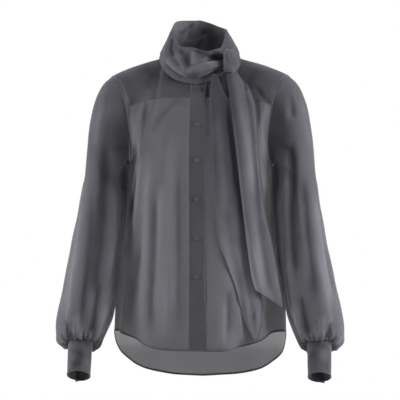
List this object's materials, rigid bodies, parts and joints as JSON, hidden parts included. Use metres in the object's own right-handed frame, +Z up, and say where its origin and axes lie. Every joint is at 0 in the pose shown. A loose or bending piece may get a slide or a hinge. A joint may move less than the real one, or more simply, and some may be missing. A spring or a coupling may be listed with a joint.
{
  "type": "tie-neck blouse",
  "caption": "Sheer long-sleeved blouse on an unseen wearer, with a scarf collar knotted at the side, a buttoned placket, gathered cuffs and a curved hem.",
  "frame": {"origin": "midway between the two neck points, where the shoulders of the wearer hold the blouse up", "axes": "+Z up, -Y to the front, +X to the wearer's left"},
  "size_m": [0.5878, 0.2716, 0.7541],
  "materials": {
    "sheer_cloth": "sheer crepe, matt",
    "tie_cloth": "doubled sheer crepe, matt",
    "button_shell": "satin"
  },
  "bodies": {
    "root": {"front_right": "sheer_cloth", "front_left": "sheer_cloth", "placket": "sheer_cloth", "button_band": "sheer_cloth", "back": "sheer_cloth", "yoke": "sheer_cloth", "sleeve_right": "sheer_cloth", "sleeve_left": "sheer_cloth", "cuff_right": "sheer_cloth", "cuff_left": "sheer_cloth", "collar": "tie_cloth", "knot": "tie_cloth", "tail_upper": "tie_cloth", "tail_lower": "tie_cloth", "button_1": "button_shell", "button_2": "button_shell", "button_3": "button_shell", "button_4": "button_shell", "button_5": "button_shell", "button_6": "button_shell", "cuff_button_right_1": "button_shell", "cuff_button_right_2": "button_shell", "cuff_button_left_1": "button_shell", "cuff_button_left_2": "button_shell"}
  },
  "joints": []
}
